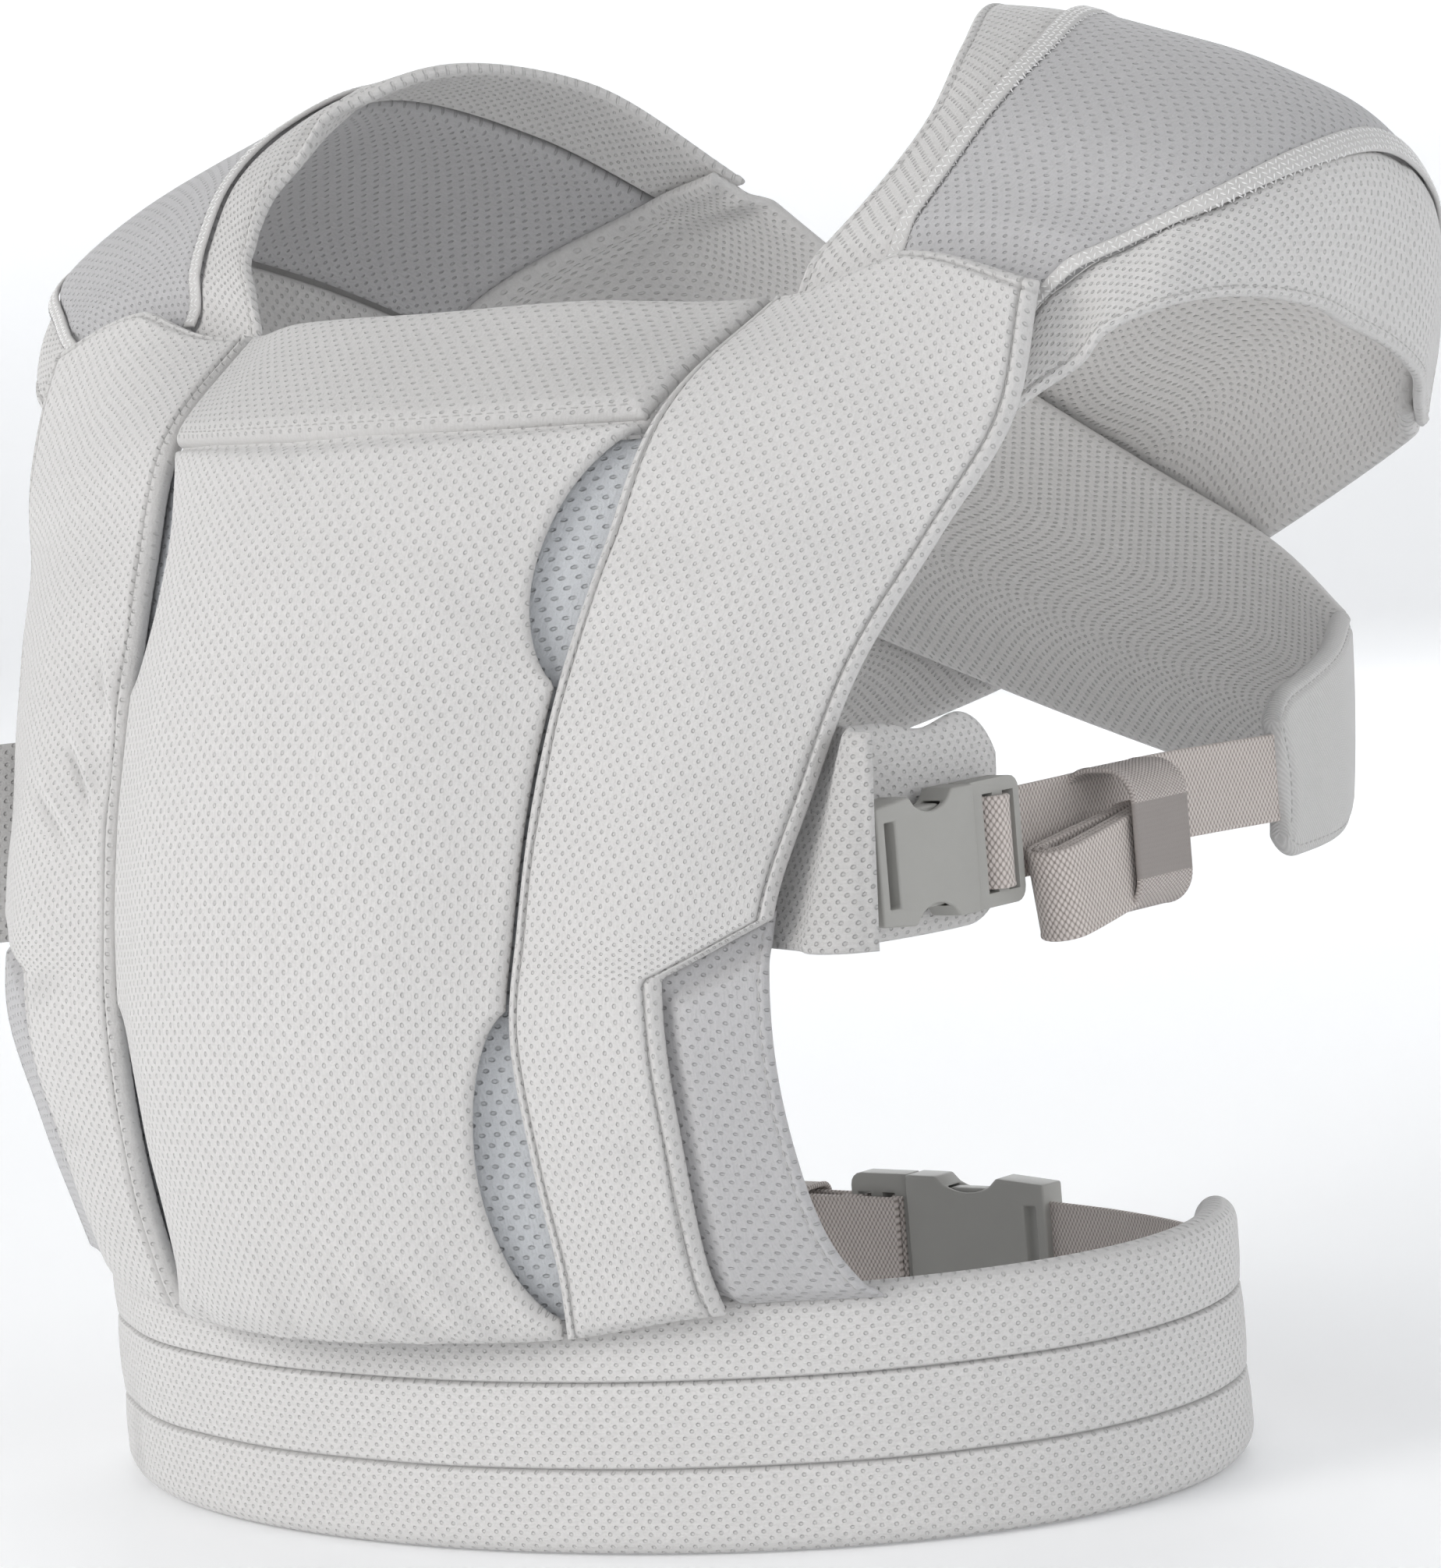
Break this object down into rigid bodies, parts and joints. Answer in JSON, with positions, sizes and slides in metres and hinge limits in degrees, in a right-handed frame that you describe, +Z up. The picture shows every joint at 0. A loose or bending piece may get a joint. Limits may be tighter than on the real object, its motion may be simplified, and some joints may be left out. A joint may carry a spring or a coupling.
{
  "type": "soft baby carrier",
  "caption": "Soft front-worn baby carrier: padded mesh body panel, fold-down head support, crossing shoulder straps, side buckles and padded waistband.",
  "frame": {"origin": "on the floor under the middle of the outer box, with the waistband resting on the floor", "axes": "+X to the wearer's left, +Y to the wearer's back, +Z up; the baby sits on the -Y side"},
  "size_m": [0.4548, 0.3694, 0.4092],
  "materials": {
    "mesh_light": "light warm-grey air-mesh knit",
    "mesh_dark": "mid-grey air-mesh knit",
    "liner_mesh": "cool grey open mesh",
    "webbing": "taupe-grey woven webbing",
    "plastic": "matt warm-grey moulded acetal"
  },
  "bodies": {
    "carrier": {"front_panel": "mesh_light", "inner_panel": "liner_mesh", "waistband_front": "mesh_light", "strap_front_left": "mesh_light", "strap_front_right": "mesh_light", "leg_panel_left": "mesh_dark", "leg_panel_right": "mesh_dark", "inner_wing_left": "mesh_light", "inner_wing_right": "mesh_light", "shoulder_pad_left": "mesh_dark", "shoulder_pad_right": "mesh_dark", "outer_wing_left": "mesh_light", "outer_wing_right": "mesh_light", "back_strap_left": "mesh_light", "back_strap_right": "mesh_light", "strap_end_left": "mesh_light", "strap_end_right": "mesh_light", "underarm_pad_left": "mesh_light", "underarm_pad_right": "mesh_light", "buckle_sleeve_left": "mesh_light", "buckle_sleeve_right": "mesh_light", "side_socket_left": "plastic", "side_socket_right": "plastic", "side_webbing_left": "webbing", "side_webbing_right": "webbing"},
    "head_rest": {"head_support": "mesh_dark"},
    "plug_left": {"side_plug_left": "plastic", "web_loop_left": "webbing", "rolled_tail_left": "webbing"},
    "prong_upper_left": {"side_prong_upper_left": "plastic"},
    "prong_lower_left": {"side_prong_lower_left": "plastic"},
    "keeper_left": {"side_keeper_left": "webbing"},
    "plug_right": {"side_plug_right": "plastic", "web_loop_right": "webbing", "rolled_tail_right": "webbing"},
    "prong_upper_right": {"side_prong_upper_right": "plastic"},
    "prong_lower_right": {"side_prong_lower_right": "plastic"},
    "keeper_right": {"side_keeper_right": "webbing"},
    "belt_left": {"waistband_wing_left": "mesh_light", "waist_webbing_left": "webbing", "waist_webbing_right": "webbing", "waist_socket": "plastic"},
    "belt_right": {"waistband_wing_right": "mesh_light", "waist_anchor_right": "webbing"},
    "belt_plug": {"waist_plug": "plastic", "waist_web_loop": "webbing", "waist_tail": "webbing"},
    "belt_prong_upper": {"waist_prong_upper": "plastic"},
    "belt_prong_lower": {"waist_prong_lower": "plastic"},
    "belt_keeper": {"waist_keeper": "webbing"}
  },
  "joints": [
    {"name": "head_support_fold", "type": "hinge", "parent": "carrier", "child": "head_rest", "pos_m": [0, -0.1316, 0.3015], "axis": [1, 0, 0], "range_deg": [0, 150]},
    {"name": "side_release_left", "type": "slide", "parent": "carrier", "child": "plug_left", "axis": [0, 1, 0], "range_m": [0, 0.03]},
    {"name": "side_prong_upper_left", "type": "hinge", "parent": "plug_left", "child": "prong_upper_left", "pos_m": [0.1615, -0.0746, 0.19275], "axis": [1, 0, 0], "range_deg": [0, 6], "stiffness_Nm_per_rad": 0.3},
    {"name": "side_prong_lower_left", "type": "hinge", "parent": "plug_left", "child": "prong_lower_left", "pos_m": [0.1615, -0.0746, 0.17525], "axis": [-1, 0, 0], "range_deg": [0, 6], "stiffness_Nm_per_rad": 0.3},
    {"name": "side_keeper_slide_left", "type": "slide", "parent": "plug_left", "child": "keeper_left", "axis": [0, 1, 0], "range_m": [0, 0.02]},
    {"name": "side_release_right", "type": "slide", "parent": "carrier", "child": "plug_right", "axis": [0, 1, 0], "range_m": [0, 0.03]},
    {"name": "side_prong_upper_right", "type": "hinge", "parent": "plug_right", "child": "prong_upper_right", "pos_m": [-0.1615, -0.0746, 0.19275], "axis": [1, 0, 0], "range_deg": [0, 6], "stiffness_Nm_per_rad": 0.3},
    {"name": "side_prong_lower_right", "type": "hinge", "parent": "plug_right", "child": "prong_lower_right", "pos_m": [-0.1615, -0.0746, 0.17525], "axis": [-1, 0, 0], "range_deg": [0, 6], "stiffness_Nm_per_rad": 0.3},
    {"name": "side_keeper_slide_right", "type": "slide", "parent": "plug_right", "child": "keeper_right", "axis": [0, 1, 0], "range_m": [0, 0.02]},
    {"name": "belt_swing_left", "type": "hinge", "parent": "carrier", "child": "belt_left", "pos_m": [0.161, -0.0816, 0.035], "axis": [0, 0, -1], "range_deg": [0, 35]},
    {"name": "belt_swing_right", "type": "hinge", "parent": "carrier", "child": "belt_right", "pos_m": [-0.161, -0.0816, 0.035], "axis": [0, 0, 1], "range_deg": [0, 35]},
    {"name": "belt_release", "type": "slide", "parent": "belt_left", "child": "belt_plug", "axis": [-1, 0, 0], "range_m": [0, 0.036]},
    {"name": "belt_prong_upper", "type": "hinge", "parent": "belt_plug", "child": "belt_prong_upper", "pos_m": [0.0005, 0.1039, 0.04275], "axis": [0, 1, 0], "range_deg": [0, 6], "stiffness_Nm_per_rad": 0.3},
    {"name": "belt_prong_lower", "type": "hinge", "parent": "belt_plug", "child": "belt_prong_lower", "pos_m": [0.0005, 0.1039, 0.02525], "axis": [0, -1, 0], "range_deg": [0, 6], "stiffness_Nm_per_rad": 0.3},
    {"name": "belt_keeper_slide", "type": "slide", "parent": "belt_plug", "child": "belt_keeper", "axis": [-1, 0, 0], "range_m": [0, 0.012]}
  ],
  "couplings": [
    {"joint": "side_prong_lower_left", "follows": "side_prong_upper_left", "ratio": 1},
    {"joint": "side_prong_lower_right", "follows": "side_prong_upper_right", "ratio": 1},
    {"joint": "belt_prong_lower", "follows": "belt_prong_upper", "ratio": 1}
  ]
}
